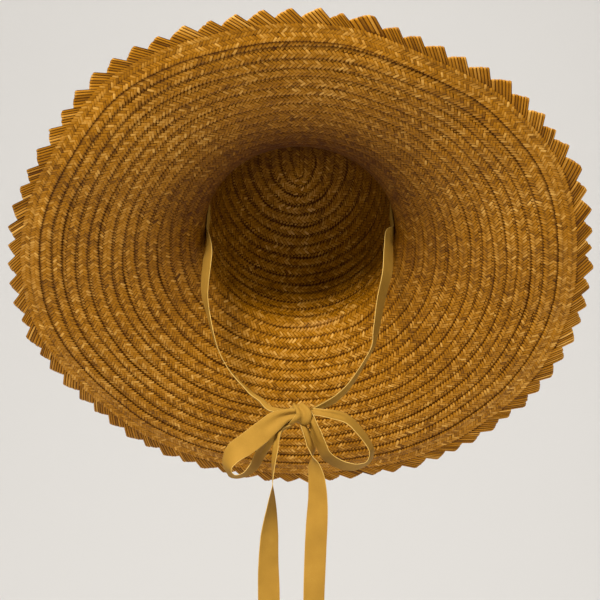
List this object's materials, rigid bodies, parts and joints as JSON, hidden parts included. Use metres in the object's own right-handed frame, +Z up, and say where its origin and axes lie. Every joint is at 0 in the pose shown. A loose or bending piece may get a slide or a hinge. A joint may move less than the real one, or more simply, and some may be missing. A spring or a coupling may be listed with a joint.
{
  "type": "wide-brim straw hat with ribbon ties",
  "caption": "Sewn-straw sun hat with a round crown, a wide drooping brim, a pointed plaited edge and ribbon ties knotted in a bow under the chin.",
  "frame": {"origin": "centre of the head opening, the oval where the crown meets the brim", "axes": "+Z up as worn, front of the hat towards -Y, +X to the wearer's left; the hat leans 47 degrees back about X"},
  "size_m": [0.4484, 0.3291, 0.4393],
  "materials": {
    "straw": "lapped rows of plaited straw, golden brown",
    "edge_straw": "plaited straw folded into points, golden brown",
    "ribbon": "ribbed grosgrain ribbon, mustard gold"
  },
  "bodies": {
    "root": {"crown": "straw", "brim": "straw", "edge_braid": "edge_straw", "tie_left": "ribbon", "tie_right": "ribbon", "bow_knot": "ribbon", "bow_loop_left": "ribbon", "bow_loop_right": "ribbon", "tail_left": "ribbon", "tail_right": "ribbon"}
  },
  "joints": []
}
